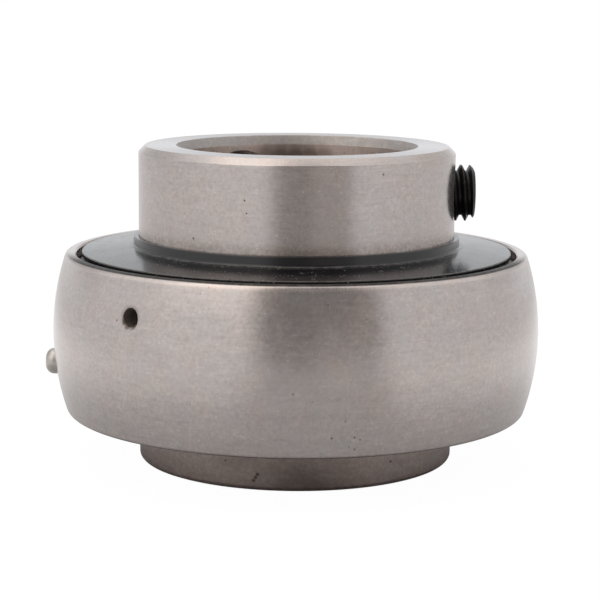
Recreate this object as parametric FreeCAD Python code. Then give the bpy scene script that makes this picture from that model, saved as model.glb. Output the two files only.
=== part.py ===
import FreeCAD, Part
import math
import os

# Insert ball bearing with a wide inner ring, two set screws and a spherical outside.
# Lengths are in millimetres and angles in degrees. The origin is the centre of the outer
# ring's sphere, on the bore's axis, and +Z points to the collar end, where the screws are.

# Balls and raceways
bore_diameter = 25.0            # the shaft's size
ball_diameter = 7.938
ball_count = 9
inner_race_wall = 3.03          # from the bore to the bottom of the inner raceway
outer_race_wall = 2.492         # from the bottom of the outer raceway to the sphere
race_clearance = 0.02           # between a ball and the bottom of each raceway
race_radius_ratio = 0.52        # the raceway's radius, as a share of the ball's diameter
inner_shoulder_height = 1.32    # the inner ring's outside above its raceway
outer_shoulder_height = 1.61    # the outer ring's shoulders above its raceway

# Cage of two riveted ribbons
cage_sheet = 0.8
cage_width = 3.3                # across the ribbon, from its inside to its outside
pocket_clearance = 0.131        # between a ball and its pocket
rivet_diameter = 1.4
rivet_head_diameter = 2.4
rivet_head_height = 0.45
rivet_head_round = 0.3

# Seals, each a steel core with a rubber lip
cage_to_seal = 1.0
seal_thickness = 1.55
seal_seat_step = 1.6            # the seal's seat beyond the outer ring's shoulder
seal_core_sheet = 0.4
seal_core_gap = 1.95            # from the core's inner edge to the inner ring
seal_rubber_thickness = 0.75    # of the rubber behind the core
seal_lip_root = 1.0             # from the core's inner edge to where the lip tapers
seal_lip_thickness = 0.4        # of the lip's edge
seal_lip_clearance = 0.1        # between the lip and the inner ring

# Slingers, each a dished disc with a hub pressed onto the inner ring
slinger_sheet = 0.55
slinger_to_seal = 0.65
slinger_stand = 0.15            # the rim's top above the outer ring's face
slinger_rim_gap = 0.6           # between the rim and the outer ring
slinger_dish = 0.5              # the disc's fall from its hub to its rim
slinger_hub_height = 1.05       # the hub above the disc
slinger_bend = 0.3              # inside radius of the bend between disc and hub

# Inner ring beyond the slingers
narrow_end_stub = 3.8           # from the slinger's hub to the narrow end
hub_to_screw = 1.6              # from the slinger's hub to the nearest side of a screw hole
screw_to_collar_end = 5.0       # from a screw's axis to the collar end
bore_chamfer_width = 0.35
bore_chamfer_depth = 1.0
collar_chamfer = 0.7
narrow_corner_width = 1.4
narrow_corner_depth = 0.3
narrow_corner_round = 0.5

# Set screws
screw_diameter = 6.0
screw_length = 6.0
screw_count = 2
screw_spacing_angle = 120.0
screw_tip_back = 0.4            # from the screw's tip to the bore, with the screw backed off
screw_fit = 0.05                # between the screw and its hole
screw_outer_chamfer = 0.45
screw_point_chamfer = 0.9
screw_cup_diameter = 2.8        # of the hollow in the screw's point
screw_cup_depth = 0.7
socket_across_flats = 3.0
socket_depth = 3.0
socket_sides = 6

# Outer ring's outside, with its lubrication hole and its pin
ring_edge_round = 0.55
seat_edge_chamfer = 0.2
oil_hole_diameter = 1.95
oil_hole_land = 0.2             # between the raceway's edge and the lubrication hole
oil_hole_angle = -129.2
pin_diameter = 2.8
pin_angle = 180.0
pin_drop = 3.8                  # the pin's axis below the sphere's centre
pin_depth = 1.5                 # of the pin in the ring
pin_stand = 1.3                 # of the pin above the sphere
pin_end_round = 0.9
press_clearance = 0.01          # between pieces that are pressed together

# Radii that follow, from the bore outwards
bore_radius = bore_diameter / 2
ball_radius = ball_diameter / 2
race_radius = race_radius_ratio * ball_diameter
inner_race_bottom = bore_radius + inner_race_wall
pitch_radius = inner_race_bottom + race_clearance + ball_radius
outer_race_bottom = pitch_radius + ball_radius + race_clearance
sphere_radius = outer_race_bottom + outer_race_wall
inner_ring_radius = inner_race_bottom + inner_shoulder_height
outer_shoulder_radius = outer_race_bottom - outer_shoulder_height
seal_seat_radius = outer_shoulder_radius + seal_seat_step
slinger_rim_radius = seal_seat_radius - slinger_rim_gap
seal_rim_radius = seal_seat_radius - press_clearance
seal_flange_radius = inner_ring_radius + seal_core_gap
cage_inner_radius = pitch_radius - cage_width / 2
cage_outer_radius = pitch_radius + cage_width / 2
pocket_radius = ball_radius + pocket_clearance
screw_radius = screw_diameter / 2

# Heights that follow, from the sphere's centre outwards
cage_reach = pocket_radius + cage_sheet
seal_inner_height = cage_reach + cage_to_seal
seal_outer_height = seal_inner_height + seal_thickness
slinger_rim_height = seal_outer_height + slinger_to_seal + slinger_sheet
outer_half_width = slinger_rim_height - slinger_stand
slinger_root_height = slinger_rim_height + slinger_dish
slinger_hub_top = slinger_root_height + slinger_hub_height
narrow_end = -(slinger_hub_top + narrow_end_stub)
screw_height = slinger_hub_top + hub_to_screw + screw_radius
collar_end = screw_height + screw_to_collar_end

origin = FreeCAD.Vector(0, 0, 0)
y_axis = FreeCAD.Vector(0, 1, 0)
z_axis = FreeCAD.Vector(0, 0, 1)
full_turn = 360.0
beyond = 1.0                    # how far a cutting body reaches past what it cuts
touching = 1e-6                 # points and sizes closer than this are the same


def section_wire(corners):
    """Close a section through (radius, height, rounding) corners in the plane of the axis."""
    points = [FreeCAD.Vector(radius, 0, height) for radius, height, rounding in corners]
    starts, ends, edges = [], [], []
    for index, point in enumerate(points):
        rounding = corners[index][2]
        back = (points[index - 1] - point).normalize()
        ahead = (points[(index + 1) % len(points)] - point).normalize()
        half_angle = back.getAngle(ahead) / 2
        tangent = rounding / math.tan(half_angle)
        starts.append(point + back * tangent)
        ends.append(point + ahead * tangent)
        if rounding > 0:
            inwards = (back + ahead).normalize()
            crown = point + inwards * (rounding / math.sin(half_angle) - rounding)
            edges.append(Part.Arc(starts[-1], crown, ends[-1]).toShape())
    for index, end in enumerate(ends):
        following = starts[(index + 1) % len(starts)]
        if end.distanceToPoint(following) > touching:
            edges.append(Part.LineSegment(end, following).toShape())
    return Part.Wire(Part.__sortEdges__(edges))


def turned(corners):
    """Turn a section of (radius, height, rounding) corners about the axis into a solid."""
    return Part.Face(section_wire(corners)).revolve(origin, z_axis, full_turn)


def other_side(shape):
    """The same piece on the narrow side of the bearing."""
    return shape.mirror(origin, z_axis)


def pointing_out(shape, angle, height, radius):
    """Turn a piece that is built along +Z outwards at an angle, from a height and a radius."""
    placed = shape.copy()
    placed.rotate(origin, y_axis, 90)
    placed.translate(FreeCAD.Vector(radius, 0, height))
    placed.rotate(origin, z_axis, angle)
    return placed


def around(shape, count, first_angle=0.0):
    """Copies of a piece at equal angles about the axis."""
    copies = []
    for index in range(count):
        placed = shape.copy()
        placed.rotate(origin, z_axis, first_angle + index * full_turn / count)
        copies.append(placed)
    return copies


def circles_at(shape, radius):
    """The edges of a turned piece that are circles of a radius about the axis."""
    return [edge for edge in shape.Edges
            if isinstance(edge.Curve, Part.Circle) and abs(edge.Curve.Radius - radius) < touching]


def outer_race_centre():
    """Radius of the circle that the outer raceway's section is struck from."""
    return outer_race_bottom - race_radius


def oil_hole_height():
    """Height of the lubrication hole, which opens just beyond the raceway's edge."""
    rise = outer_shoulder_radius - outer_race_centre()
    half_width = math.sqrt(race_radius ** 2 - rise ** 2)
    return half_width + oil_hole_land + oil_hole_diameter / 2


def make_outer_ring():
    """Spherical ring with a raceway, two seal seats, a lubrication hole and a pin hole."""
    latitude = math.degrees(math.asin(outer_half_width / sphere_radius))
    face_radius = math.sqrt(sphere_radius ** 2 - outer_half_width ** 2)
    ring = Part.makeSphere(sphere_radius, origin, z_axis, -latitude, latitude, full_turn)
    ring = ring.makeFillet(ring_edge_round, circles_at(ring, face_radius))
    mouth_height = outer_half_width + beyond
    mouth_radius = seal_seat_radius + seat_edge_chamfer + beyond
    chamfer_height = outer_half_width - seat_edge_chamfer
    hollow = turned([
        (0, -mouth_height, 0),
        (mouth_radius, -mouth_height, 0),
        (seal_seat_radius, -chamfer_height, 0),
        (seal_seat_radius, -seal_inner_height, 0),
        (outer_shoulder_radius, -seal_inner_height, 0),
        (outer_shoulder_radius, seal_inner_height, 0),
        (seal_seat_radius, seal_inner_height, 0),
        (seal_seat_radius, chamfer_height, 0),
        (mouth_radius, mouth_height, 0),
        (0, mouth_height, 0),
    ])
    raceway = Part.makeTorus(outer_race_centre(), race_radius)
    oil_hole = Part.makeCylinder(oil_hole_diameter / 2, sphere_radius)
    pin_hole = Part.makeCylinder(pin_diameter / 2 + press_clearance, sphere_radius)
    oil_hole = pointing_out(oil_hole, oil_hole_angle, oil_hole_height(), pitch_radius)
    pin_hole = pointing_out(pin_hole, pin_angle, -pin_drop, pin_foot_radius())
    return ring.cut(hollow).cut(raceway).cut([oil_hole, pin_hole])


def make_inner_ring():
    """Wide ring with a bore, a raceway, two screw holes and a rounded narrow end."""
    ring = turned([
        (bore_radius, narrow_end + bore_chamfer_depth, 0),
        (bore_radius + bore_chamfer_width, narrow_end, 0),
        (inner_ring_radius - narrow_corner_width, narrow_end, narrow_corner_round),
        (inner_ring_radius, narrow_end + narrow_corner_depth, narrow_corner_round),
        (inner_ring_radius, collar_end - collar_chamfer, 0),
        (inner_ring_radius - collar_chamfer, collar_end, 0),
        (bore_radius + bore_chamfer_width, collar_end, 0),
        (bore_radius, collar_end - bore_chamfer_depth, 0),
    ])
    raceway = Part.makeTorus(inner_race_bottom + race_radius, race_radius)
    screw_hole = Part.makeCylinder(screw_radius, inner_ring_radius)
    holes = [pointing_out(screw_hole, index * screw_spacing_angle, screw_height, bore_radius / 2)
             for index in range(screw_count)]
    return ring.cut(raceway).cut(holes)


def make_ball():
    """One ball at angle zero on the pitch circle."""
    ball = Part.makeSphere(ball_radius)
    ball.translate(FreeCAD.Vector(pitch_radius, 0, 0))
    return ball


def rivet_angle():
    """Angle from a ball to the rivet beside it."""
    return full_turn / ball_count / 2


def make_cage_half():
    """Upper ribbon: a flat ring domed round the balls, with rivet holes between them."""
    band = turned([
        (cage_inner_radius, 0, 0),
        (cage_outer_radius, 0, 0),
        (cage_outer_radius, cage_sheet, 0),
        (cage_inner_radius, cage_sheet, 0),
    ])
    dome_room = turned([
        (cage_inner_radius, 0, 0),
        (cage_outer_radius, 0, 0),
        (cage_outer_radius, cage_reach + beyond, 0),
        (cage_inner_radius, cage_reach + beyond, 0),
    ])
    dome = Part.makeSphere(pocket_radius + cage_sheet)
    dome.translate(FreeCAD.Vector(pitch_radius, 0, 0))
    dome = dome.common(dome_room)
    pocket = Part.makeSphere(pocket_radius)
    pocket.translate(FreeCAD.Vector(pitch_radius, 0, 0))
    rivet_hole = Part.makeCylinder(
        rivet_diameter / 2 + press_clearance, cage_sheet + 2 * beyond,
        FreeCAD.Vector(pitch_radius, 0, -beyond))
    ribbon = band.fuse(around(dome, ball_count))
    ribbon = ribbon.cut(around(pocket, ball_count))
    return ribbon.cut(around(rivet_hole, ball_count, rivet_angle()))


def make_rivet():
    """One rivet at angle zero on the pitch circle, with a rounded head on each ribbon."""
    head_top = cage_sheet + rivet_head_height
    head_radius = rivet_head_diameter / 2
    shank_radius = rivet_diameter / 2
    rivet = turned([
        (0, -head_top, 0),
        (head_radius, -head_top, rivet_head_round),
        (head_radius, -cage_sheet, 0),
        (shank_radius, -cage_sheet, 0),
        (shank_radius, cage_sheet, 0),
        (head_radius, cage_sheet, 0),
        (head_radius, head_top, rivet_head_round),
        (0, head_top, 0),
    ])
    rivet.translate(FreeCAD.Vector(pitch_radius, 0, 0))
    return rivet


def make_seal_core():
    """Steel core of the upper seal: a rim in the seat and a flange across the gap."""
    flange_height = seal_outer_height - seal_core_sheet
    return turned([
        (seal_rim_radius, seal_inner_height, 0),
        (seal_rim_radius, seal_outer_height, seal_core_sheet),
        (seal_flange_radius, seal_outer_height, 0),
        (seal_flange_radius, flange_height, 0),
        (seal_rim_radius - seal_core_sheet, flange_height, 0),
        (seal_rim_radius - seal_core_sheet, seal_inner_height, 0),
    ])


def make_seal_rubber():
    """Rubber of the upper seal: a layer behind the core and a lip towards the inner ring."""
    flange_height = seal_outer_height - seal_core_sheet
    back = flange_height - seal_rubber_thickness
    lip_root = seal_flange_radius - seal_lip_root
    lip_edge = inner_ring_radius + seal_lip_clearance
    lip_height = flange_height - (seal_rubber_thickness - seal_lip_thickness) / 2
    return turned([
        (seal_rim_radius - seal_core_sheet, back, 0),
        (seal_rim_radius - seal_core_sheet, flange_height, 0),
        (seal_flange_radius, flange_height, 0),
        (seal_flange_radius, seal_outer_height, 0),
        (lip_root, seal_outer_height, 0),
        (lip_edge, lip_height, 0),
        (lip_edge, lip_height - seal_lip_thickness, 0),
        (lip_root, back, 0),
    ])


def make_slinger():
    """Upper slinger: sheet bent from a hub on the inner ring into a dished disc."""
    hub_inside = inner_ring_radius + press_clearance
    hub_outside = hub_inside + slinger_sheet
    return turned([
        (hub_inside, slinger_hub_top, 0),
        (hub_inside, slinger_root_height - slinger_sheet, slinger_bend + slinger_sheet),
        (slinger_rim_radius, slinger_rim_height - slinger_sheet, 0),
        (slinger_rim_radius, slinger_rim_height, 0),
        (hub_outside, slinger_root_height, slinger_bend),
        (hub_outside, slinger_hub_top, 0),
    ])


def make_set_screw():
    """Set screw along +Z from its cup point, with a hexagon socket in its outer end."""
    radius = screw_radius - screw_fit
    screw = turned([
        (0, screw_cup_depth, 0),
        (screw_cup_diameter / 2, 0, 0),
        (radius - screw_point_chamfer, 0, 0),
        (radius, screw_point_chamfer, 0),
        (radius, screw_length - screw_outer_chamfer, 0),
        (radius - screw_outer_chamfer, screw_length, 0),
        (0, screw_length, 0),
    ])
    corner_radius = socket_across_flats / 2 / math.cos(math.pi / socket_sides)
    first_corner = FreeCAD.Vector(corner_radius, 0, screw_length - socket_depth)
    turns = [index * full_turn / socket_sides for index in range(socket_sides)]
    corners = [FreeCAD.Rotation(z_axis, turn).multVec(first_corner) for turn in turns]
    floor = Part.Face(Part.makePolygon(corners + corners[:1]))
    socket = floor.extrude(z_axis * (socket_depth + beyond))
    return screw.cut(socket)


def pin_foot_radius():
    """Radius of the bottom of the pin's hole."""
    return math.sqrt(sphere_radius ** 2 - pin_drop ** 2) - pin_depth


def make_pin():
    """Anti-rotation pin along +Z, with a rounded outer end."""
    length = pin_depth + pin_stand
    return turned([
        (0, 0, 0),
        (pin_diameter / 2, 0, 0),
        (pin_diameter / 2, length, pin_end_round),
        (0, length, 0),
    ])


def numbered(name, shapes):
    """Names for repeated pieces, counted from one."""
    return {f"{name}_{index}": shape for index, shape in enumerate(shapes, start=1)}


def make_bearing():
    """Every piece of the bearing, by name."""
    cage_half = make_cage_half()
    seal_core, seal_rubber, slinger = make_seal_core(), make_seal_rubber(), make_slinger()
    screws = [pointing_out(make_set_screw(), index * screw_spacing_angle, screw_height,
                           bore_radius + screw_tip_back) for index in range(screw_count)]
    pieces = {
        "outer_ring": make_outer_ring(),
        "inner_ring": make_inner_ring(),
        "cage_upper": cage_half,
        "cage_lower": other_side(cage_half),
        "seal_core_upper": seal_core,
        "seal_core_lower": other_side(seal_core),
        "seal_rubber_upper": seal_rubber,
        "seal_rubber_lower": other_side(seal_rubber),
        "slinger_upper": slinger,
        "slinger_lower": other_side(slinger),
        "anti_rotation_pin": pointing_out(make_pin(), pin_angle, -pin_drop, pin_foot_radius()),
    }
    pieces.update(numbered("ball", around(make_ball(), ball_count)))
    pieces.update(numbered("cage_rivet", around(make_rivet(), ball_count, rivet_angle())))
    pieces.update(numbered("set_screw", screws))
    return pieces


def main():
    """Write one file for each piece."""
    os.makedirs("parts", exist_ok=True)
    for name, shape in make_bearing().items():
        shape.exportStep(f"parts/{name}.step")
        solids, volume = len(shape.Solids), round(shape.Volume, 1)
        print(f"{name}: {solids} solid, {volume} mm3, valid {shape.isValid()}")


main()
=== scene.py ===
import logging
import math
from dataclasses import dataclass, field
from enum import Enum
from typing import Any

import bmesh
import bpy
from mathutils import Matrix, Vector


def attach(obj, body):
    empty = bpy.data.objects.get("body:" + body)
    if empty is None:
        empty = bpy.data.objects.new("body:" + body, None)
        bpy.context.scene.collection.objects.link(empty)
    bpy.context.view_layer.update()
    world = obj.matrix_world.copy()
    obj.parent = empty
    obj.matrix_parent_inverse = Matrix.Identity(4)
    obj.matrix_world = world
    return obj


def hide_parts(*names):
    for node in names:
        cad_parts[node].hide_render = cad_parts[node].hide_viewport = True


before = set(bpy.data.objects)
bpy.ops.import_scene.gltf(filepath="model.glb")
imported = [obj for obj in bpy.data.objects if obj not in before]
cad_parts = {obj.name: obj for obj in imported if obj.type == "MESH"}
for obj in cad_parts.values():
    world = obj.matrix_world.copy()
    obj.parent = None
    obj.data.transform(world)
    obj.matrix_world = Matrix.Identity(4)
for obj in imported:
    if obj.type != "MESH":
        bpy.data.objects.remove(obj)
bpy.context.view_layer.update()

LOG = logging.getLogger("bearing")
MM = 0.001
TURN_STEPS = 240
FULL_TURN = 2 * math.pi
TO_DEGREES = 180 / math.pi

# What sub-assemblies share, in millimetres and degrees
SCREW_HEIGHT = 14.8
SCREW_ANGLES = (0.0, 120.0)
PIN_ANGLE = 180.0
PIN_HEIGHT = -3.8
PIN_FOOT = 24.221
BALL_RACE_RADIUS = 4.12776

Colour = tuple[float, float, float]


class Side(Enum):
    """Side of the bearing that a piece sits on, as the sign of its heights."""

    COLLAR = 1
    NARROW = -1


class Carving(Enum):
    """What is kept when one workpiece meets another."""

    CUT_AWAY = "DIFFERENCE"
    KEEP_INSIDE = "INTERSECT"


# Shader maths


class Value:
    """A number that varies over a surface; arithmetic on it adds Math nodes."""

    def __init__(self, sheet: "NodeSheet", socket: bpy.types.NodeSocket) -> None:
        """Hold one output socket of a sheet."""
        self.sheet = sheet
        self.socket = socket

    def __add__(self, other: "Value | float") -> "Value":
        """Sum."""
        return self.sheet.maths("ADD", self, other)

    __radd__ = __add__

    def __sub__(self, other: "Value | float") -> "Value":
        """Difference."""
        return self.sheet.maths("SUBTRACT", self, other)

    def __rsub__(self, other: float) -> "Value":
        """Difference, from a plain number."""
        return self.sheet.maths("SUBTRACT", other, self)

    def __mul__(self, other: "Value | float") -> "Value":
        """Product."""
        return self.sheet.maths("MULTIPLY", self, other)

    __rmul__ = __mul__

    def __pow__(self, other: float) -> "Value":
        """Power."""
        return self.sheet.maths("POWER", self, other)

    def __abs__(self) -> "Value":
        """Size without its sign."""
        return self.sheet.maths("ABSOLUTE", self)

    def largest(self, other: "Value | float") -> "Value":
        """The larger of two."""
        return self.sheet.maths("MAXIMUM", self, other)

    def rise(self, start: float, end: float) -> "Value":
        """Soft step from 0 at start to 1 at end; start may be the larger.

        Args:
            start: Where the step begins.
            end: Where it has reached 1.

        Returns:
            The step, from 0 to 1.
        """
        low, high = (start, end) if start < end else (end, start)
        step = self.sheet.add(
            "ShaderNodeMapRange", {"interpolation_type": "SMOOTHSTEP"},
            {"Value": self, "From Min": low, "From Max": high})
        value = Value(self.sheet, step.outputs[0])
        return value if start < end else 1 - value


class NodeSheet:
    """The nodes of one material or world."""

    SPECK_EDGE = 0.3

    def __init__(self, tree: bpy.types.NodeTree) -> None:
        """Start on an empty tree."""
        self.tree = tree
        tree.nodes.clear()

    def add(self, kind: str, settings: dict[str, Any] | None = None,
            inputs: dict[int | str, Any] | None = None) -> bpy.types.Node:
        """Add any node.

        Args:
            kind: The node's type.
            settings: Its own settings.
            inputs: Values or links of its sockets.

        Returns:
            The node.
        """
        node = self.tree.nodes.new(kind)
        for name, value in (settings or {}).items():
            setattr(node, name, value)
        for key, value in (inputs or {}).items():
            if isinstance(value, Value):
                value = value.socket
            if isinstance(value, bpy.types.NodeSocket):
                self.tree.links.new(value, node.inputs[key])
            else:
                node.inputs[key].default_value = value
        return node

    def maths(self, operation: str, *values: "Value | float") -> Value:
        """Add a Math node and give its result."""
        node = self.add("ShaderNodeMath", {"operation": operation}, dict(enumerate(values)))
        return Value(self, node.outputs[0])

    def millimetres(self) -> bpy.types.NodeSocket:
        """Object coordinates in millimetres."""
        place = self.add("ShaderNodeTexCoord").outputs["Object"]
        return self.add("ShaderNodeVectorMath", {"operation": "SCALE"},
                        {0: place, "Scale": 1 / MM}).outputs[0]

    def axes(self, vector: bpy.types.NodeSocket) -> tuple[Value, Value, Value]:
        """The three parts of a vector."""
        node = self.add("ShaderNodeSeparateXYZ", inputs={0: vector})
        return tuple(Value(self, output) for output in node.outputs)

    def vector(self, x: Value | float, y: Value | float, z: Value | float) -> bpy.types.NodeSocket:
        """A vector from its three parts."""
        return self.add("ShaderNodeCombineXYZ", inputs={0: x, 1: y, 2: z}).outputs[0]

    def noise(self, place: bpy.types.NodeSocket, scale: float, detail: float = 2.0,
              rough: float = 0.5, fourth: Value | None = None) -> Value:
        """Noise about zero.

        Args:
            place: Where it is read.
            scale: Features to a unit of place.
            detail: Finer layers.
            rough: Strength of the finer layers.
            fourth: A fourth coordinate, where there is one.

        Returns:
            The noise, between about -0.5 and 0.5.
        """
        inputs = {"Vector": place, "Scale": scale, "Detail": detail, "Roughness": rough}
        if fourth is not None:
            inputs["W"] = fourth
        node = self.add("ShaderNodeTexNoise",
                        {"noise_dimensions": "3D" if fourth is None else "4D"}, inputs)
        return Value(self, node.outputs[0]) - 0.5

    def specks(self, place: bpy.types.NodeSocket, to_unit: float, size: float,
               share: float) -> Value:
        """Scattered round specks of different sizes.

        Args:
            place: Where they are read, in millimetres.
            to_unit: Cells to a millimetre, each with one speck at most.
            size: Radius of the largest, in millimetres.
            share: Share of the cells that have one.

        Returns:
            1 in a speck and 0 outside.
        """
        cells = self.add("ShaderNodeTexVoronoi", {"feature": "F1"},
                         {"Vector": place, "Scale": to_unit})
        draw = self.axes(cells.outputs["Color"])
        reach = draw[0].rise(1.0 - share, 1.0) * (size * to_unit)
        inside = reach - Value(self, cells.outputs["Distance"])
        return inside.rise(0.0, self.SPECK_EDGE * size * to_unit)

    def mix(self, share: Value, first: Any, second: Any) -> bpy.types.NodeSocket:
        """Mix two colours, each plain or linked; share 1 gives the second."""
        sides = [(*side, 1.0) if isinstance(side, tuple) else side for side in (first, second)]
        return self.add("ShaderNodeMix", {"data_type": "RGBA"},
                        {0: share, 6: sides[0], 7: sides[1]}).outputs[2]

    def shaded(self, colour: Any, strength: Value) -> bpy.types.NodeSocket:
        """A colour made lighter or darker by a factor."""
        return self.add("ShaderNodeVectorMath", {"operation": "SCALE"},
                        {0: colour, "Scale": strength}).outputs[0]

    def tinted(self, colour: Any, tint: Any) -> bpy.types.NodeSocket:
        """A colour multiplied by another."""
        return self.add("ShaderNodeVectorMath", {"operation": "MULTIPLY"},
                        {0: colour, 1: tint}).outputs[0]

    def bump(self, height: Value, depth: float) -> bpy.types.NodeSocket:
        """Normal of a relief whose height is in units of depth, in millimetres."""
        return self.add("ShaderNodeBump", inputs={
            "Strength": 1.0, "Distance": depth * MM, "Height": height}).outputs[0]


# Finishes


@dataclass(frozen=True)
class Finish:
    """What finishes have in common: a name and how a material is made of it."""

    name: str

    def paint(self, sheet: NodeSheet) -> dict[str, Any]:
        """Sockets of the surface shader, plain or linked.

        Args:
            sheet: Where the nodes go.

        Returns:
            Values by socket name.
        """
        raise NotImplementedError

    def material(self) -> bpy.types.Material:
        """The finish as a material."""
        material = bpy.data.materials.new(self.name)
        material.use_nodes = True
        sheet = NodeSheet(material.node_tree)
        surface = sheet.add("ShaderNodeBsdfPrincipled", inputs=self.paint(sheet))
        sheet.add("ShaderNodeOutputMaterial", inputs={"Surface": surface.outputs[0]})
        return material


@dataclass(frozen=True)
class Mark:
    """One dark spot, or patch of painted shade, on a ring, by where it is seen, in degrees and
    millimetres.
    """

    azimuth: float
    radius: float
    height: float
    size: float
    strength: float = 1.0
    core: float = 0.4

    def mask(self, sheet: NodeSheet, place: bpy.types.NodeSocket) -> Value:
        """The spot's strength in its core, falling to 0 at its size."""
        angle = math.radians(self.azimuth)
        centre = (self.radius * math.cos(angle), self.radius * math.sin(angle), self.height)
        away = sheet.add("ShaderNodeVectorMath", {"operation": "DISTANCE"}, {0: place, 1: centre})
        return Value(sheet, away.outputs["Value"]).rise(self.size, self.core * self.size) * self.strength


@dataclass(frozen=True)
class Zone:
    """Part of a ring, by radius and height in millimetres, with a tint: its own colour in some zones,
    painted light and shade in others.
    """

    inside: float
    outside: float
    low: float
    high: float
    soft: float
    tint: Colour
    patchy: float = 0.0
    rough: float = 0.0
    dull: float = 0.0
    ahead: float = -30.0
    soft_ahead: float = 4.0
    patch_range: tuple[float, float] = (-0.08, 0.16)

    def mask(self, across: Value, ahead: Value, height: Value, patch: Value) -> Value:
        """How much of the tint there is at a place.

        Args:
            across: Radius of the place.
            ahead: How far it lies in front of the axis.
            height: Its height.
            patch: Noise that makes the tint uneven.

        Returns:
            0 off the zone and up to 1 on it.
        """
        half = self.soft / 2
        on = (across.rise(self.inside - half, self.inside + half)
              * across.rise(self.outside + half, self.outside - half)
              * height.rise(self.low - half, self.low + half)
              * height.rise(self.high + half, self.high - half)
              * ahead.rise(self.ahead - self.soft_ahead, self.ahead + self.soft_ahead))
        return on * (1.0 - self.patchy * patch.rise(*self.patch_range))


@dataclass(frozen=True)
class GroundSteel(Finish):
    """Hardened steel, ground round its axis: fine lines, grain, clouds, small dark spots, and painted
    shade and highlights.
    """

    cool: Colour = (0.503, 0.463, 0.449)
    warm: Colour = (0.520, 0.460, 0.437)
    # Dark colour of real spots and scratches, and of marks that are painted shade
    stain_and_shade: Colour = (0.10, 0.062, 0.045)
    metal: float = 0.84
    rough: float = 0.235
    stretch: float = 0.72
    lines_to_mm: float = 6.0
    line_break: float = 0.35
    line_shade: float = 0.26
    line_rough: float = 0.10
    line_depth: float = 0.0022
    band_to_mm: float = 1.1
    band_break: float = 0.05
    band_shade: float = 0.10
    mottle_shade: float = 0.24
    mottle_rough: float = 0.12
    grain_to_mm: float = 2.6
    grain_shade: float = 0.62
    grain_rough: float = 0.12
    hue_range: float = 0.16
    pits: tuple[float, float, float] = (1.2, 0.10, 0.22)
    pit_shade: float = 0.25
    spots: tuple[float, float, float] = (0.4, 0.16, 0.10)
    spot_cover: float = 0.8
    spot_rough: float = 0.3
    spot_dull: float = 0.3
    zones: tuple[Zone, ...] = ()
    marks: tuple[Mark, ...] = ()

    def paint(self, sheet: NodeSheet) -> dict[str, Any]:
        """See Finish."""
        place = sheet.millimetres()
        x, y, z = sheet.axes(place)
        across = (x * x + y * y) ** 0.5
        lines = self.lines_to_mm
        fine = sheet.noise(sheet.vector(x * self.line_break, y * self.line_break, z * lines),
                           1.0, 3.0, 0.65, across * lines)
        band = sheet.noise(sheet.vector(x * self.band_break, y * self.band_break,
                                        z * self.band_to_mm), 1.0, 2.0, 0.5, across)
        mottle = sheet.noise(sheet.vector(x, y, z * 1.5), 0.8, 4.0, 0.62)
        grain = sheet.noise(place, self.grain_to_mm, 4.0, 0.75)
        hue = sheet.noise(place, 0.35, 4.0, 0.6)
        pits = sheet.specks(place, *self.pits)
        spots = sheet.specks(place, *self.spots)
        # Marks add spots and scratches, and patches of painted shade
        for mark in self.marks:
            spots = spots.largest(mark.mask(sheet, place))
        shade = (1.0 + fine * self.line_shade + band * self.band_shade
                 + mottle * self.mottle_shade + grain * self.grain_shade - pits * self.pit_shade)
        rough = (self.rough + fine * self.line_rough + mottle * self.mottle_rough
                 + grain * self.grain_rough + spots * self.spot_rough)
        metal = 1.0 - spots * self.spot_dull
        colour = sheet.mix(hue.rise(-self.hue_range, self.hue_range), self.cool, self.warm)
        patch = mottle * 0.5 + grain * 0.7
        # Zones tint the colour; several tints are painted highlights and painted shade
        for zone in self.zones:
            mask = zone.mask(across, 0 - y, z, patch)
            tint = sheet.mix(mask, (1.0, 1.0, 1.0), zone.tint)
            colour = sheet.tinted(colour, tint)
            rough = rough + mask * zone.rough
            metal = metal * (1.0 - mask * zone.dull)
        return {
            "Base Color": sheet.mix(spots * self.spot_cover, sheet.shaded(colour, shade), self.stain_and_shade),
            "Metallic": metal * self.metal,
            "Roughness": rough,
            "Anisotropic": self.stretch,
            "Anisotropic Rotation": 0.25,
            "Normal": sheet.bump(fine + grain * 0.5, self.line_depth),
        }


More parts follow.
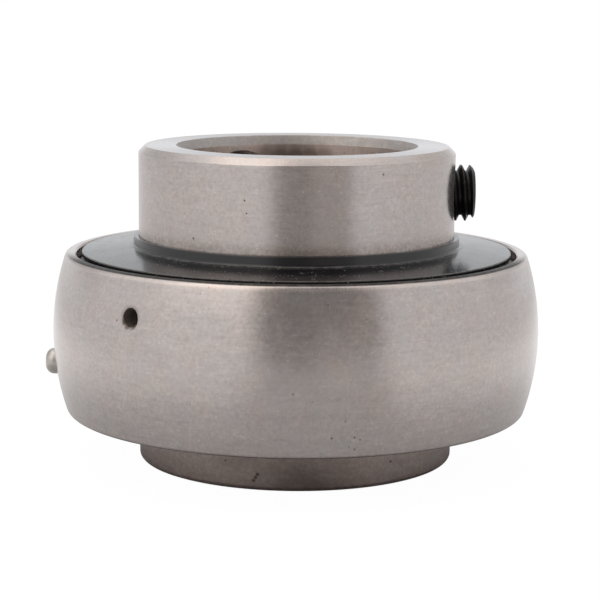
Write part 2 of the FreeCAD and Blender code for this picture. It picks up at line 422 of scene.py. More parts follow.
@dataclass(frozen=True)
class BlackSheet(Finish):
    """Black coated sheet, satin, with dust and short fibres lying on it, and painted highlights in the
    bend and on the rim's top edge.
    """

    colour: Colour = (0.0080, 0.0072, 0.0090)
    dust: Colour = (0.42, 0.38, 0.34)
    rough: float = 0.18
    bend_radius: float = 17.7
    bend_height: float = 9.2
    bend_reach: tuple[float, float] = (0.34, 0.1)
    # Dust and painted highlight in the bend at the hub
    bend_dust_and_highlight: float = 0.32
    rim_start: tuple[float, float] = (22.74, 22.84)
    rim_foot: tuple[float, float] = (8.47, 8.59)
    # Dust and painted highlight on the rim's top edge
    rim_dust_and_highlight: float = 0.22
    disc_start: tuple[float, float] = (17.6, 18.0)
    flecks: tuple[float, float, float] = (2.6, 0.10, 0.28)
    fleck_dust: float = 0.8
    fibre_width: tuple[float, float] = (0.022, 0.008)
    fibre_share: tuple[float, float] = (0.08, 0.12)
    fibre_dust: float = 0.6
    settled_start: tuple[float, float] = (18.0, 21.0)
    settled_dust: float = 0.04

    def paint(self, sheet: NodeSheet) -> dict[str, Any]:
        """See Finish."""
        place = sheet.millimetres()
        x, y, z = sheet.axes(place)
        across = (x * x + y * y) ** 0.5
        from_bend = ((across - self.bend_radius) ** 2.0
                     + (abs(z) - self.bend_height) ** 2.0) ** 0.5
        in_bend = from_bend.rise(*self.bend_reach)
        cloud = sheet.noise(place, 0.35, 3.0, 0.6)
        grain = sheet.noise(place, 7.0, 2.0, 0.6)
        flecks = sheet.specks(place, *self.flecks) * self.fleck_dust
        bend = sheet.noise(place, 1.3, 3.0, 0.6)
        fibre = abs(sheet.noise(place, 1.3, 1.0, 0.5)).rise(*self.fibre_width)
        fibre = fibre * sheet.noise(place, 0.9, 2.0, 0.5).rise(*self.fibre_share)
        on_disc = across.rise(*self.disc_start)
        on_rim = across.rise(*self.rim_start) * abs(z).rise(*self.rim_foot)
        settled = ((cloud + grain * 0.5).rise(0.02, 0.30) * across.rise(*self.settled_start)
                   * self.settled_dust)
        dust = flecks.largest(fibre * self.fibre_dust) * on_disc
        dust = dust.largest(in_bend * bend.rise(-0.2, 0.2) * self.bend_dust_and_highlight)
        dust = (dust * 0.6).largest(settled).largest(
            on_rim * bend.rise(-0.3, 0.1) * self.rim_dust_and_highlight)
        return {
            "Base Color": sheet.mix(dust, self.colour, self.dust),
            "Roughness": self.rough + cloud * 0.12 + grain * 0.08 + dust * 0.35,
            "Specular IOR Level": 0.60,
            "Normal": sheet.bump(cloud * 0.3 + grain * 0.4 + dust, 0.012),
        }


@dataclass(frozen=True)
class BlackOxide(Finish):
    """Blackened steel of the set screws, rubbed lighter on the crests."""

    colour: Colour = (0.030, 0.028, 0.027)
    worn: Colour = (0.16, 0.15, 0.14)
    rough: float = 0.36

    def paint(self, sheet: NodeSheet) -> dict[str, Any]:
        """See Finish."""
        place = sheet.millimetres()
        cloud = sheet.noise(place, 0.9, 3.0, 0.6)
        grain = sheet.noise(place, 9.0, 3.0, 0.65)
        worn = (cloud + grain * 0.6).rise(0.12, 0.34)
        return {
            "Base Color": sheet.mix(worn, self.colour, self.worn),
            "Metallic": 0.75,
            "Roughness": self.rough + grain * 0.18,
            "Normal": sheet.bump(grain, 0.006),
        }


@dataclass(frozen=True)
class PlainSteel(Finish):
    """Bare steel of the smaller pieces, from polished balls to pressed sheet."""

    colour: Colour = (0.56, 0.54, 0.51)
    rough: float = 0.3
    cloud_shade: float = 0.12
    grain_depth: float = 0.003

    def paint(self, sheet: NodeSheet) -> dict[str, Any]:
        """See Finish."""
        place = sheet.millimetres()
        cloud = sheet.noise(place, 0.6, 3.0, 0.6)
        grain = sheet.noise(place, 6.0, 3.0, 0.6)
        shade = 1.0 + cloud * self.cloud_shade + grain * self.cloud_shade
        return {
            "Base Color": sheet.shaded(self.colour, shade),
            "Metallic": 1.0,
            "Roughness": self.rough + cloud * 0.1 + grain * 0.06,
            "Normal": sheet.bump(grain, self.grain_depth),
        }


@dataclass(frozen=True)
class SealRubber(Finish):
    """Matt black rubber with a fine moulded grain."""

    colour: Colour = (0.022, 0.021, 0.020)
    rough: float = 0.62

    def paint(self, sheet: NodeSheet) -> dict[str, Any]:
        """See Finish."""
        place = sheet.millimetres()
        cloud = sheet.noise(place, 0.5, 3.0, 0.6)
        grain = sheet.noise(place, 8.0, 2.0, 0.6)
        return {
            "Base Color": sheet.shaded(self.colour, 1.0 + cloud * 0.6 + grain * 0.4),
            "Roughness": self.rough + grain * 0.2,
            "Normal": sheet.bump(grain, 0.01),
        }


@dataclass(frozen=True)
class Step:
    """Soft step over an angle or a distance, and how much it adds."""

    start: float
    end: float
    amount: float = 1.0

    def over(self, value: Value) -> Value:
        """What the step adds at a value."""
        return value.rise(self.start, self.end) * self.amount


@dataclass(frozen=True)
class StudioFloor(Finish):
    """Pale table, nearly white to the camera, greyer in the metal towards the bearing and in front:
    painted shade.

    Its steps are in degrees round from the front or in millimetres from the axis.
    """

    colour: Colour = (0.80, 0.80, 0.80)
    seen_white: float = 0.95
    reflected_share: float = 0.6
    white: Colour = (1.03, 1.03, 1.03)
    front: tuple[Step, Step] = (Step(-31, -7), Step(44, 28))
    middle: tuple[Step, Step] = (Step(-42, -12), Step(32, 12))
    side_least: float = 0.36
    side_steps: tuple[Step, Step] = (Step(24, 72, 0.73), Step(110, 190, -0.23))
    flank_least: float = 0.94
    flank_around: Step = Step(40, 115)
    flank_away: Step = Step(130, 90, 0.20)
    front_least: float = 0.35
    front_steps: tuple[Step, Step] = (Step(26, 52, 0.07), Step(56, 96, 0.20))
    foot_tone: float = 0.24
    foot_middle: float = 0.16
    foot_edge: Step = Step(28.5, 22.5)

    def material(self) -> bpy.types.Material:
        """The table's diffuse surface, lifted by a glow for camera and glossy rays."""
        material = bpy.data.materials.new(self.name)
        material.use_nodes = True
        sheet = NodeSheet(material.node_tree)
        rays = sheet.add("ShaderNodeLightPath")
        camera, glossy, through = (Value(sheet, rays.outputs[name]) for name in (
            "Is Camera Ray", "Is Glossy Ray", "Is Transmission Ray"))
        lift = camera * self.seen_white + (glossy + through) * self.reflected_share
        place = sheet.millimetres()
        x, y, _ = sheet.axes(place)
        away = (x * x + y * y) ** 0.5
        around = sheet.maths("ARCTAN2", x, 0 - y) * TO_DEGREES
        # Painted shade, darker in front and nearer the bearing, seen only in reflections
        front, middle = (left.over(around) * right.over(around)
                         for left, right in (self.front, self.middle))
        side_tone, front_tone = (
            least + near.over(away) + far.over(away) for least, (near, far) in (
                (self.side_least, self.side_steps), (self.front_least, self.front_steps)))
        flank = self.flank_around.over(abs(around)) * self.flank_away.over(away)
        side_tone = side_tone * (self.flank_least + flank)
        # Painted shadow of the bearing round its foot, seen only in reflections
        foot = self.foot_edge.over(away)
        under = (self.foot_tone - middle * self.foot_middle) * foot + (1 - foot)
        tone = (side_tone + (front_tone - side_tone) * front) * under
        grain = sheet.noise(place, 0.02, 3.0, 0.5)
        table = sheet.add("ShaderNodeBsdfDiffuse",
                          inputs={"Color": sheet.shaded(self.colour, 1.0 + grain * 0.02)})
        glow = sheet.add("ShaderNodeEmission", inputs={
            "Color": sheet.mix(camera, sheet.shaded((1.0, 1.0, 1.0), tone), self.white),
            "Strength": 1.0})
        both = sheet.add("ShaderNodeMixShader",
                         inputs={0: lift, 1: table.outputs[0], 2: glow.outputs[0]})
        sheet.add("ShaderNodeOutputMaterial", inputs={"Surface": both.outputs[0]})
        return material


# Shaping


class Workpiece:
    """A closed shape in millimetres while it is being made."""

    MERGE = 1e-4
    SLIVER = 1e-5

    def __init__(self, mesh: bmesh.types.BMesh) -> None:
        """Take over a mesh and make it whole, with its faces outwards."""
        self.mesh = mesh
        bmesh.ops.remove_doubles(mesh, verts=mesh.verts, dist=self.MERGE)
        bmesh.ops.dissolve_degenerate(mesh, edges=mesh.edges, dist=self.SLIVER)
        bmesh.ops.recalc_face_normals(mesh, faces=mesh.faces)

    def moved(self, matrix: Matrix) -> "Workpiece":
        """The same piece in another place."""
        bmesh.ops.transform(self.mesh, matrix=matrix, verts=self.mesh.verts)
        if matrix.determinant() < 0:
            bmesh.ops.recalc_face_normals(self.mesh, faces=self.mesh.faces)
        return self

    def loose(self, name: str) -> bpy.types.Object:
        """A short-lived object of its own, in millimetres."""
        data = bpy.data.meshes.new(name)
        self.mesh.to_mesh(data)
        piece = bpy.data.objects.new(name, data)
        bpy.context.scene.collection.objects.link(piece)
        return piece

    def carved(self, tool: "Workpiece", way: Carving) -> "Workpiece":
        """Carve this piece with another.

        Args:
            tool: The other piece.
            way: What is kept.

        Returns:
            This piece, carved.
        """
        piece, cutter = self.loose("carved"), tool.loose("cutter")
        carving = piece.modifiers.new("carving", "BOOLEAN")
        carving.operation, carving.object, carving.solver = way.value, cutter, "EXACT"
        settled = settle(piece)
        self.mesh.clear()
        self.mesh.from_mesh(settled)
        for done in (piece, cutter):
            bpy.data.objects.remove(done)
        return self

    def finished(self, name: str, material: bpy.types.Material,
                 sharp: float = 32.0) -> bpy.types.Object:
        """Make the final object, in metres, shaded smooth between its sharp edges.

        Args:
            name: The piece's name.
            material: Its finish.
            sharp: Edges that turn by more degrees than this stay sharp.

        Returns:
            The object, at the origin.
        """
        limit = math.radians(sharp)
        for face in self.mesh.faces:
            face.smooth = True
        for edge in self.mesh.edges:
            edge.smooth = len(edge.link_faces) == 2 and edge.calc_face_angle() < limit
        bmesh.ops.scale(self.mesh, vec=(MM, MM, MM), verts=self.mesh.verts)
        piece = self.loose(name)
        piece.data.materials.append(material)
        shading = piece.modifiers.new("shading", "WEIGHTED_NORMAL")
        shading.keep_sharp, shading.weight = True, 60
        settled = settle(piece)
        piece.modifiers.clear()
        piece.data = settled
        settled.name = name
        self.mesh.free()
        return piece


def settle(piece: bpy.types.Object) -> bpy.types.Mesh:
    """The mesh of an object with its modifiers applied."""
    graph = bpy.context.evaluated_depsgraph_get()
    return bpy.data.meshes.new_from_object(
        piece.evaluated_get(graph), preserve_all_data_layers=True, depsgraph=graph)


class Section:
    """Outline in the half plane of a turning axis, drawn point by point in millimetres."""

    def __init__(self) -> None:
        """Start with a clean sheet."""
        self.mesh = bmesh.new()
        self.path: list[bmesh.types.BMVert] = []
        self.rounded: list[tuple[bmesh.types.BMVert, float]] = []

    def to(self, radius: float, height: float, rounding: float = 0.0) -> "Section":
        """Draw straight on to a point.

        Args:
            radius: From the axis.
            height: Along the axis.
            rounding: Radius that the corner there is broken with.

        Returns:
            The section, so that calls can be chained.
        """
        point = self.mesh.verts.new((radius, 0, height))
        if self.path:
            self.mesh.edges.new((self.path[-1], point))
        self.path.append(point)
        if rounding > 0:
            self.rounded.append((point, rounding))
        return self

    def arc(self, radius: float, height: float, degrees: float, steps: int) -> "Section":
        """Go on round a centre, counter-clockwise for positive degrees.

        Args:
            radius: Of the centre, from the axis.
            height: Of the centre, along the axis.
            degrees: How far round.
            steps: Straight pieces that make it.

        Returns:
            The section.
        """
        drawn = bmesh.ops.spin(
            self.mesh, geom=[self.path[-1]], cent=(radius, 0, height), axis=(0, -1, 0),
            angle=math.radians(degrees), steps=steps, use_duplicate=False)
        self.path.append(drawn["geom_last"][0])
        return self

    def closed(self) -> "Section":
        """Join the last point to the first, then round the corners that ask for it."""
        self.mesh.edges.new((self.path[-1], self.path[0]))
        return self.broken()

    def broken(self) -> "Section":
        """Round the corners that ask for it."""
        for point, rounding in self.rounded:
            ways = [edge.other_vert(point).co - point.co for edge in point.link_edges]
            reach = rounding / math.tan(ways[0].angle(ways[1]) / 2)
            bmesh.ops.bevel(
                self.mesh, geom=[point], offset=reach, offset_type="OFFSET", affect="VERTICES",
                segments=5, profile=0.5, material=-1)
        return self

    def turned(self, steps: int = TURN_STEPS) -> Workpiece:
        """Turn the outline once round the axis."""
        bmesh.ops.spin(
            self.mesh, geom=self.mesh.verts[:] + self.mesh.edges[:], cent=(0, 0, 0),
            axis=(0, 0, 1), angle=FULL_TURN, steps=steps, use_merge=True)
        return Workpiece(self.mesh)


def drill(radius: float, length: float, sides: int = 64) -> Workpiece:
    """A plain round or many-sided tool along +Z from the origin, with its radius to the corners."""
    mesh = bmesh.new()
    bmesh.ops.create_cone(
        mesh, cap_ends=True, cap_tris=False, segments=sides, radius1=radius, radius2=radius,
        depth=length, matrix=Matrix.Translation((0, 0, length / 2)))
    return Workpiece(mesh)


def countersink(mouth: float, depth: float, at: float) -> Workpiece:
    """A cone along +Z that breaks the mouth of a hole.

    Args:
        mouth: Radius of the cone at the surface.
        depth: How far the cone goes below it before it ends in a point.
        at: Height of the surface.

    Returns:
        The tool.
    """
    over = 1.0
    return (Section().to(0, at - depth).to(mouth + mouth / depth * over, at + over)
            .to(0, at + over).broken().turned(64))


@dataclass(frozen=True)
class Thread:
    """A screw thread along +Z, in millimetres."""

    crest: float
    root: float
    pitch: float = 1.0
    crest_flat: float = 0.14
    root_flat: float = 0.22
    steps: int = 60

    def body(self, start: float, end: float) -> Workpiece:
        """A threaded rod.

        Args:
            start: Height of its lower end.
            end: Height of its upper end.

        Returns:
            The rod, with flat ends.
        """
        turns = math.ceil((end - start) / self.pitch) + 3
        middle = self.pitch / 2
        profile = (Section().to(self.root, 0).to(self.root, self.root_flat / 2)
                   .to(self.crest, middle - self.crest_flat / 2)
                   .to(self.crest, middle + self.crest_flat / 2)
                   .to(self.root, self.pitch - self.root_flat / 2).to(self.root, self.pitch))
        mesh = profile.mesh
        bmesh.ops.translate(mesh, vec=(0, 0, start - 1.5 * self.pitch), verts=mesh.verts)
        bmesh.ops.spin(
            mesh, geom=mesh.verts[:] + mesh.edges[:], cent=(0, 0, 0), axis=(0, 0, 1),
            angle=FULL_TURN * turns, dvec=(0, 0, self.pitch / self.steps),
            steps=self.steps * turns, use_merge=False)
        bmesh.ops.remove_doubles(mesh, verts=mesh.verts, dist=Workpiece.MERGE)
        for height, way in ((start, -1), (end, 1)):
            bmesh.ops.bisect_plane(
                mesh, geom=mesh.verts[:] + mesh.edges[:] + mesh.faces[:], dist=1e-6,
                plane_co=(0, 0, height), plane_no=(0, 0, way), clear_outer=True)
        rims = [edge for edge in mesh.edges if edge.is_boundary]
        bmesh.ops.holes_fill(mesh, edges=rims, sides=0)
        return Workpiece(mesh)


def outwards(angle: float, height: float, radius: float = 0.0) -> Matrix:
    """Where a piece that is made along +Z points out of the bearing.

    Args:
        angle: Round the bearing, in degrees.
        height: Of its axis.
        radius: Of its foot.

    Returns:
        The transform, in millimetres.
    """
    return (Matrix.Rotation(math.radians(angle), 4, "Z")
            @ Matrix.Translation((radius, 0, height))
            @ Matrix.Rotation(math.radians(90), 4, "Y"))


def fitted(piece: bpy.types.Object, node: str, body: str) -> None:
    """Put a finished piece in the place of a node of the frame.

    Args:
        piece: The piece.
        node: The node that it stands for.
        body: The body that carries it.
    """
    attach(piece, body)
    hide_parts(node)
    LOG.info("%s: %d faces on %s", piece.name, len(piece.data.polygons), body)


def dress(nodes: list[str], finish: Finish) -> None:
    """Give one finish to nodes of the frame, which keep their shapes."""
    material = finish.material()
    for name in nodes:
        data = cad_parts[name].data
        data.materials.clear()
        data.materials.append(material)
        LOG.info("%s: %s", name, finish.name)


# Spots and scratches of the ground rings, and patches of painted shade and reflection, by where they are
# seen


GREASE_HOLE_SHADE = (
    Mark(-129.2, 24.4, 4.45, 1.5), Mark(-129.2, 23.0, 4.45, 1.6), Mark(-129.2, 25.2, 4.45, 1.5),
    Mark(-130.7, 25.6, 3.95, 0.5), Mark(-130.0, 25.65, 3.6, 0.5))

OUTER_SPOTS = (
    Mark(-82.0, 25.24, -6.25, 0.16), Mark(-76.9, 25.24, -6.24, 0.14),
    Mark(-76.7, 24.89, -7.51, 0.13), Mark(-173.6, 24.74, 8.0, 0.16),
    Mark(-75.6, 25.17, -6.51, 0.12), Mark(-79.2, 25.6, -4.55, 0.13, 0.7),
    Mark(-78.0, 24.98, -7.2, 0.12, 0.7), Mark(-83.1, 25.11, 6.73, 0.16, 0.8),
    Mark(-91.3, 25.53, 4.92, 0.26, 0.4), Mark(-90.5, 25.94, -1.76, 0.2, 0.5))

COLLAR_SPOTS = (
    Mark(-107.8, 16.85, 15.62, 0.14), Mark(-107.1, 16.85, 14.34, 0.12),
    Mark(-127.9, 16.85, 11.44, 0.16), Mark(-59.4, 16.85, 18.14, 0.15))

STUB_SPOTS = (
    Mark(-54.6, 16.85, -11.32, 0.20), Mark(-41.6, 16.85, -13.43, 0.20),
    Mark(-114.7, 16.85, -10.94, 0.16))

STUB_SCRATCH = (
    Mark(-104.3, 16.85, -12.73, 0.27), Mark(-103.6, 16.85, -12.41, 0.27),
    Mark(-102.9, 16.85, -12.08, 0.27))

STUB_SHADE = (Mark(-107.0, 16.85, -11.5, 4.6, 0.14), Mark(-88.0, 16.85, -13.6, 3.4, 0.3))

SCREW_HOLE_SHADE = (Mark(0.0, 16.4, SCREW_HEIGHT, 3.95),)

# Painted reflection of the dark front on the back wall of the bore
BORE_SHADE = tuple(
    Mark(azimuth, 12.5, 17.1, 2.0, strength)
    for azimuth, strength in ((106.0, 0.7), (98.5, 0.9), (91.0, 0.95), (83.5, 0.9), (76.0, 0.7)))


# Sub-assemblies, all sizes in millimetres


@dataclass
class OuterRing:
    """Ring with a spherical outside, a raceway, two seal seats, a grease hole and a pin hole."""

    sphere: float = 26.0
    half_width: float = 8.5
    edge_round: float = 0.55
    seat: float = 23.498
    seat_chamfer: float = 0.2
    seat_depth: float = 2.6
    shoulder: float = 21.898
    race_centre: float = 19.38024
    race_radius: float = BALL_RACE_RADIUS
    hole_radius: float = 0.975
    hole_angle: float = -129.2
    hole_height: float = 4.446
    hole_break: float = 0.07
    pin_hole_radius: float = 1.41
    pin_angle: float = PIN_ANGLE
    pin_height: float = PIN_HEIGHT
    pin_foot: float = PIN_FOOT
    finish: Finish = field(default_factory=lambda: GroundSteel(
        "ground_steel_outer",
        # Lighter top edge all round: painted highlight
        zones=(Zone(24.0, 30.0, 7.9, 9.0, 0.3, (1.10, 1.09, 1.08), 0.5, 0.05),
               Zone(0.0, 23.6, -9.0, 9.0, 0.3, (0.80, 0.74, 0.68)),
               # Near-black front of the seat edge: painted shade and reflection of the slinger's rim
               Zone(23.0, 24.52, 8.2, 9.0, 0.16, (0.022, 0.017, 0.015), 0.1, 0.3, 0.95, 6.0),
               # Lighter front of the top edge: painted highlight
               Zone(24.0, 30.0, 8.03, 9.0, 0.12, (1.18, 1.17, 1.16), 0.2, 0.0, 0.0, 14.0),
               # Darker bottom edge: painted shade from the shadowed table below
               Zone(20.0, 24.6, -9.0, -8.38, 0.16, (0.44, 0.40, 0.39))),
        marks=GREASE_HOLE_SHADE + OUTER_SPOTS))

    def body(self) -> Workpiece:
        """The turned ring, before drilling."""
        inner = self.sphere - self.edge_round
        latitude = math.degrees(math.asin((self.half_width - self.edge_round) / inner))
        flat = math.sqrt(inner ** 2 - (self.half_width - self.edge_round) ** 2)
        race = math.degrees(math.acos((self.shoulder - self.race_centre) / self.race_radius))
        race_edge = self.race_radius * math.sin(math.radians(race))
        top, low = self.half_width, self.half_width - self.edge_round
        floor = top - self.seat_depth
        return (
            Section().to(flat, -top)
            .arc(flat, -low, 90 - latitude, 6)
            .arc(0, 0, 2 * latitude, 72)
            .arc(flat, low, 90 - latitude, 6)
            .to(self.seat + self.seat_chamfer, top, 0.04)
            .to(self.seat, top - self.seat_chamfer, 0.04)
            .to(self.seat, floor).to(self.shoulder, floor, 0.1)
            .to(self.shoulder, race_edge, 0.05)
            .arc(self.race_centre, 0, -2 * race, 32)
            .to(self.shoulder, -floor, 0.1).to(self.seat, -floor)
            .to(self.seat, self.seat_chamfer - top, 0.04)
            .to(self.seat + self.seat_chamfer, -top, 0.04)
            .closed().turned())

    def build(self) -> None:
        """The finished ring."""
        ring = self.body()
        surface = math.sqrt(self.sphere ** 2 - self.hole_height ** 2)
        grease_hole = drill(self.hole_radius, self.sphere)
        mouth = countersink(self.hole_radius + self.hole_break, self.hole_radius, surface)
        at_hole = outwards(self.hole_angle, self.hole_height)
        pin_hole = drill(self.pin_hole_radius, self.sphere)
        ring.carved(grease_hole.moved(at_hole), Carving.CUT_AWAY)
        ring.carved(mouth.moved(at_hole), Carving.CUT_AWAY)
        ring.carved(pin_hole.moved(outwards(self.pin_angle, self.pin_height, self.pin_foot)),
                    Carving.CUT_AWAY)
        piece = ring.finished("outer_ring_ground", self.finish.material())
        fitted(piece, "outer_ring", "outer")


@dataclass
class InnerRing:
    """Wide ring with a bore, a raceway, a rounded narrow end and two threaded screw holes."""

    bore: float = 12.5
    radius: float = 16.85
    low: float = -14.0
    high: float = 19.8
    race_bottom: float = 15.53
    race_radius: float = BALL_RACE_RADIUS
    bore_chamfer: tuple[float, float] = (0.35, 1.0)
    collar_chamfer: float = 0.7
    corner: tuple[float, float, float] = (1.4, 0.3, 0.5)
    edge_break: float = 0.07
    screw_height: float = SCREW_HEIGHT
    screw_angles: tuple[float, ...] = SCREW_ANGLES
    hole_thread: Thread = Thread(crest=3.28, root=3.0, crest_flat=0.2, root_flat=0.3)
    hole_mouth: float = 3.35
    hole_inner_mouth: float = 3.42
    finish: Finish = field(default_factory=lambda: GroundSteel(
        "ground_steel_inner",
        # Darker, browner stub: partly a brown film, partly painted shade
        zones=(Zone(12.9, 30.0, -30.0, -9.0, 0.5, (0.74, 0.67, 0.64), 0.22, 0.14),
               # Darker towards the bottom of the stub: painted shade near the table
               Zone(12.9, 30.0, -30.0, -13.0, 1.6, (0.84, 0.80, 0.80), 0.2),
               # Darker, browner foot of the collar above the hub: partly grime, partly painted shade
               Zone(16.7, 17.0, 9.0, 11.0, 1.3, (0.58, 0.49, 0.43), 0.80, 0.1),
               # Lighter bore wall: painted light falling in from above
               Zone(0.0, 12.55, -30.0, 18.8, 0.08, (1.33, 1.25, 1.19), 0.2, 0.06),
               # Lighter, bluer top chamfer of the bore: painted highlight
               Zone(0.0, 12.87, 18.8, 30.0, 0.08, (1.30, 1.36, 1.36), 0.35, 0.50),
               # Darker, slightly bluer flat top of the collar: painted reflection tone
               Zone(12.9, 16.1, 19.7, 30.0, 0.08, (0.87, 0.89, 0.91)),
               # Lighter outer chamfer of the collar: painted highlight
               Zone(16.15, 30.0, 19.1, 30.0, 0.1, (1.14, 1.12, 1.10), 0.6, 0.06)),
        marks=(COLLAR_SPOTS + STUB_SPOTS + STUB_SCRATCH + STUB_SHADE + SCREW_HOLE_SHADE
               + BORE_SHADE)))

    def body(self) -> Workpiece:
        """The turned ring, before its screw holes."""
        wide, deep = self.bore_chamfer
        corner_wide, corner_deep, corner_round = self.corner
        rise = self.race_radius - (self.radius - self.race_bottom)
        race = math.degrees(math.acos(rise / self.race_radius))
        race_edge = self.race_radius * math.sin(math.radians(race))
        edge = self.edge_break
        return (
            Section().to(self.bore, self.low + deep, edge)
            .to(self.bore + wide, self.low, edge)
            .to(self.radius - corner_wide, self.low, corner_round)
            .to(self.radius, self.low + corner_deep, corner_round)
            .to(self.radius, -race_edge)
            .arc(self.race_bottom + self.race_radius, 0, -2 * race, 28)
            .to(self.radius, self.high - self.collar_chamfer, 2 * edge)
            .to(self.radius - self.collar_chamfer, self.high, edge)
            .to(self.bore + wide, self.high, edge)
            .to(self.bore, self.high - deep, edge)
            .closed().turned())

    def build(self) -> None:
        """The finished ring."""
        ring = self.body()
        for angle in self.screw_angles:
            place = outwards(angle, self.screw_height)
            hole = self.hole_thread.body(self.bore / 2, self.radius + 1.0)
            mouth = countersink(self.hole_mouth, self.hole_mouth, self.radius)
            inner_mouth = countersink(self.hole_inner_mouth, self.hole_inner_mouth, -self.bore)
            inner_mouth.moved(Matrix.Diagonal((1, 1, -1, 1)))
            for tool in (hole, mouth, inner_mouth):
                ring.carved(tool.moved(place), Carving.CUT_AWAY)
        piece = ring.finished("inner_ring_ground", self.finish.material())
        fitted(piece, "inner_ring", "inner")


@dataclass
class Slingers:
    """Two dished discs of black sheet, each with a hub pressed onto the inner ring."""

    hub_inside: float = 16.86
    sheet: float = 0.55
    rim: float = 22.898
    rim_top: float = 8.65
    root_top: float = 9.15
    hub_top: float = 10.2
    bend: float = 0.3
    edge: float = 0.12
    finish: Finish = field(default_factory=lambda: BlackSheet("slinger_steel"))

    def disc(self, side: Side) -> Workpiece:
        """The turned disc of one side, in its place."""
        outside = self.hub_inside + self.sheet
        disc = (
            Section().to(self.hub_inside, self.hub_top, 0.05)
            .to(self.hub_inside, self.root_top - self.sheet, self.bend + self.sheet)
            .to(self.rim, self.rim_top - self.sheet, self.edge)
            .to(self.rim, self.rim_top, self.edge)
            .to(outside, self.root_top, self.bend)
            .to(outside, self.hub_top, self.edge)
            .closed().turned())
        return disc.moved(Matrix.Diagonal((1, 1, side.value, 1)))

    def build(self) -> None:
        """Both discs, finished."""
        material = self.finish.material()
        for side, node in ((Side.COLLAR, "slinger_upper"), (Side.NARROW, "slinger_lower")):
            piece = self.disc(side).finished(f"{node}_sheet", material)
            fitted(piece, node, "inner")


@dataclass
class SetScrews:
    """Two set screws with a rolled thread, a cup point and a hexagon socket."""

    radius: float = 2.99
    thread: Thread = Thread(crest=2.99, root=2.38)
    length: float = 6.0
    outer_chamfer: float = 0.45
    point_chamfer: float = 0.9
    cup: tuple[float, float] = (1.4, 0.7)
    socket_flats: float = 3.0
    socket_depth: float = 3.0
    socket_mouth: float = 1.9
    foot: float = 12.9
    height: float = SCREW_HEIGHT
    angles: tuple[float, ...] = SCREW_ANGLES
    phase: float = -38.0
    finish: Finish = field(default_factory=lambda: BlackOxide("black_steel"))

    def screw(self) -> Workpiece:
        """One screw along +Z, with its point at the origin."""
        cup_radius, cup_depth = self.cup
        blank = (
            Section().to(0, cup_depth).to(cup_radius, 0, 0.05)
            .to(self.radius - self.point_chamfer, 0, 0.05)
            .to(self.radius, self.point_chamfer).to(self.radius, self.length - self.outer_chamfer)
            .to(self.radius - self.outer_chamfer, self.length, 0.08).to(0, self.length)
            .broken().turned(96))
        screw = self.thread.body(-1.0, self.length + 1.0)
        screw.moved(Matrix.Rotation(math.radians(self.phase), 4, "Z"))
        screw.carved(blank, Carving.KEEP_INSIDE)
        corner = self.socket_flats / 2 / math.cos(math.pi / 6)
        socket = drill(corner, self.socket_depth + 1.0, 6)
        socket.moved(Matrix.Translation((0, 0, self.length - self.socket_depth)))
        screw.carved(socket, Carving.CUT_AWAY)
        mouth = countersink(self.socket_mouth, self.socket_mouth, self.length)
        return screw.carved(mouth, Carving.CUT_AWAY)

    def build(self) -> None:
        """Both screws, finished."""
        material = self.finish.material()
        for number, angle in enumerate(self.angles, start=1):
            place = outwards(angle, self.height, self.foot)
            piece = self.screw().moved(place).finished(f"set_screw_{number}_threaded", material)
            fitted(piece, f"set_screw_{number}", f"screw_{number}")


@dataclass
class AntiRotationPin:
    """Short round pin in the outer ring, with a rounded end."""

    radius: float = 1.4
    length: float = 2.8
    end_round: float = 0.9
    foot: float = PIN_FOOT
    height: float = PIN_HEIGHT
    angle: float = PIN_ANGLE
    finish: Finish = field(default_factory=lambda: PlainSteel(
        "pin_steel", colour=(0.50, 0.47, 0.44), rough=0.33))

    def build(self) -> None:
        """The finished pin."""
        pin = (Section().to(0, 0).to(self.radius, 0, 0.05)
               .to(self.radius, self.length, self.end_round).to(0, self.length)
               .broken().turned(72))
        pin.moved(outwards(self.angle, self.height, self.foot))
        piece = pin.finished("anti_rotation_pin_turned", self.finish.material())
        fitted(piece, "anti_rotation_pin", "outer")


@dataclass
class RollingSet:
    """Balls, cage, rivets and seals, which keep the frame's own shapes."""

    balls: int = 9

    def build(self) -> None:
        """Give each its finish."""
        numbers = range(1, self.balls + 1)
        dress([f"ball_{number}" for number in numbers],
              PlainSteel("ball_steel", colour=(0.72, 0.71, 0.70), rough=0.08,
                         cloud_shade=0.02, grain_depth=0.0003))
        dress(["cage_upper", "cage_lower"] + [f"cage_rivet_{number}" for number in numbers],
              PlainSteel("pressed_steel", colour=(0.50, 0.49, 0.47), rough=0.34))
        dress(["seal_core_upper", "seal_core_lower"],
              PlainSteel("seal_steel", colour=(0.12, 0.115, 0.11), rough=0.45,
                         cloud_shade=0.4))
        dress(["seal_rubber_upper", "seal_rubber_lower"], SealRubber("seal_rubber"))


# Studio


@dataclass(frozen=True)
class Screen:
    """A soft-edged patch of the surroundings, in degrees round from the camera's side."""

    left: float
    right: float
    bottom: float
    top: float
    soft_around: float
    soft_above: float
    colour: Colour

    def mask(self, around: Value, above: Value) -> Value:
        """1 on the patch and 0 off it.

        Args:
            around: Angle from straight in front, towards the right, in degrees.
            above: Angle above the horizon, in degrees.

        Returns:
            The mask.
        """
        side, end = self.soft_around, self.soft_above
        return (around.rise(self.left - side, self.left + side)
                * around.rise(self.right + side, self.right - side)
                * above.rise(self.bottom - end, self.bottom + end)
                * above.rise(self.top + end, self.top - end))


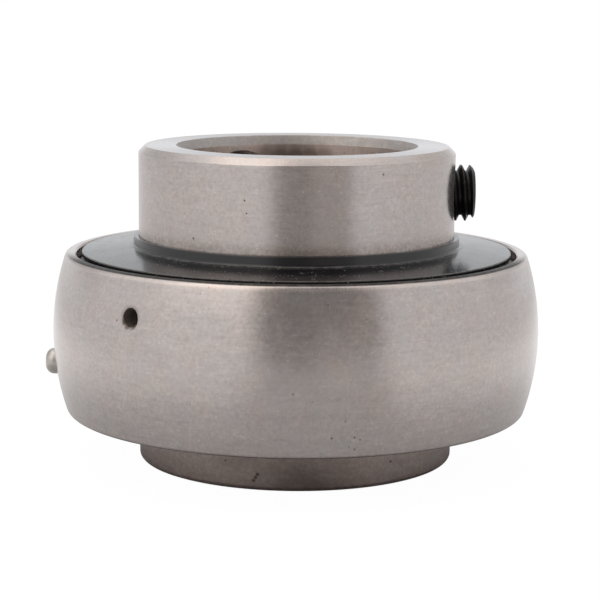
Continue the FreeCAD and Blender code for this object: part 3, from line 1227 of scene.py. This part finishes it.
@dataclass
class Studio:
    """Pale surroundings with screens, table and camera, in metres and radians.

    The screens are side walls, grey corners, ceiling, pale panels at the left and a grey front.
    """

    table: float = -0.014
    table_front: float = -0.11
    table_reach: float = 1.5
    white: Colour = (1.0, 1.0, 1.0)
    back_wall: Colour = (0.98, 1.0, 1.03)
    screens: tuple[Screen, ...] = (
        Screen(-125, 0, -95, 95, 12, 5, (0.92, 0.92, 0.92)),
        Screen(0, 125, -95, 95, 12, 5, (0.85, 0.85, 0.85)),
        Screen(-165, -112, 6, 40, 12, 8, (0.58, 0.59, 0.60)),
        Screen(112, 165, 6, 40, 12, 8, (0.67, 0.67, 0.67)),
        Screen(-190, 190, 60, 120, 5, 10, (1.12, 1.10, 1.08)),
        Screen(-72, -16, 22, 60, 10, 14, (1.62, 1.54, 1.47)),
        Screen(-125, -30, 55, 84, 14, 9, (1.75, 1.68, 1.60)),
        Screen(-16, 37, -95, 4, 8, 4, (0.43, 0.405, 0.395)),
        Screen(11, 37, -60, 4, 6, 4, (0.54, 0.51, 0.495)),
        Screen(-7, 10, -12, 8, 5, 4, (0.33, 0.31, 0.30)),
        Screen(10, 41, 0, 70, 7, 9, (0.34, 0.31, 0.30)),
        Screen(-19, 12, 0, 70, 8, 9, (0.21, 0.20, 0.195)),
        Screen(2, 31, 15, 74, 7, 6, (0.19, 0.18, 0.175)),
    )
    place: tuple[float, float, float] = (0.0, -0.20673, 0.03732)
    pitch: float = 0.16428
    yaw: float = 0.00205
    roll: float = 0.00756
    lens: float = 116.567
    sensor: float = 36.0
    near: float = 0.01

    def make_world(self) -> None:
        """White all round for the camera; the metal sees the screens instead."""
        world = bpy.data.worlds.new("white_tent")
        world.use_nodes = True
        bpy.context.scene.world = world
        sheet = NodeSheet(world.node_tree)
        x, y, z = sheet.axes(sheet.add("ShaderNodeTexCoord").outputs["Generated"])
        around = sheet.maths("ARCTAN2", x, 0 - y) * TO_DEGREES
        above = sheet.maths("ARCSINE", z) * TO_DEGREES
        colour: Any = self.back_wall
        for screen in self.screens:
            colour = sheet.mix(screen.mask(around, above), colour, screen.colour)
        camera = Value(sheet, sheet.add("ShaderNodeLightPath").outputs["Is Camera Ray"])
        seen = sheet.mix(camera, colour, self.white)
        glow = sheet.add("ShaderNodeBackground", inputs={"Color": seen, "Strength": 1.0})
        sheet.add("ShaderNodeOutputWorld", inputs={"Surface": glow.outputs[0]})

    def make_table(self) -> None:
        """The pale table that the bearing stands on."""
        mesh = bmesh.new()
        half_depth = (self.table_reach - self.table_front) / 2
        bmesh.ops.create_grid(mesh, x_segments=8, y_segments=8, size=1.0)
        bmesh.ops.scale(mesh, vec=(self.table_reach, half_depth, 1), verts=mesh.verts)
        bmesh.ops.translate(mesh, vec=(0, self.table_front + half_depth, self.table),
                            verts=mesh.verts)
        data = bpy.data.meshes.new("table")
        mesh.to_mesh(data)
        mesh.free()
        data.materials.append(StudioFloor("table").material())
        table = bpy.data.objects.new("table", data)
        bpy.context.scene.collection.objects.link(table)

    def make_camera(self) -> None:
        """The camera at the photograph's place."""
        ahead = Vector((math.sin(self.yaw) * math.cos(self.pitch),
                        math.cos(self.yaw) * math.cos(self.pitch), -math.sin(self.pitch)))
        right = Vector((math.cos(self.yaw), -math.sin(self.yaw), 0))
        up = right.cross(ahead)
        tilted_right = right * math.cos(self.roll) + up * math.sin(self.roll)
        tilted_up = up * math.cos(self.roll) - right * math.sin(self.roll)
        data = bpy.data.cameras.new("camera")
        data.lens, data.sensor_width, data.clip_start = self.lens, self.sensor, self.near
        camera = bpy.data.objects.new("camera", data)
        bpy.context.scene.collection.objects.link(camera)
        turn = Matrix((tilted_right, tilted_up, -ahead)).transposed()
        camera.matrix_world = Matrix.Translation(self.place) @ turn.to_4x4()
        bpy.context.scene.camera = camera

    def build(self) -> None:
        """World, table and camera."""
        bpy.context.scene.view_settings.view_transform = "Standard"
        self.make_world()
        self.make_table()
        self.make_camera()


def main() -> None:
    """Build every sub-assembly, then the studio."""
    logging.basicConfig(level=logging.INFO, format="%(name)s: %(message)s")
    for assembly in (OuterRing(), InnerRing(), Slingers(), SetScrews(), AntiRotationPin(),
                     RollingSet(), Studio()):
        LOG.info("%s", type(assembly).__name__)
        assembly.build()


if __name__ == "__main__":
    main()
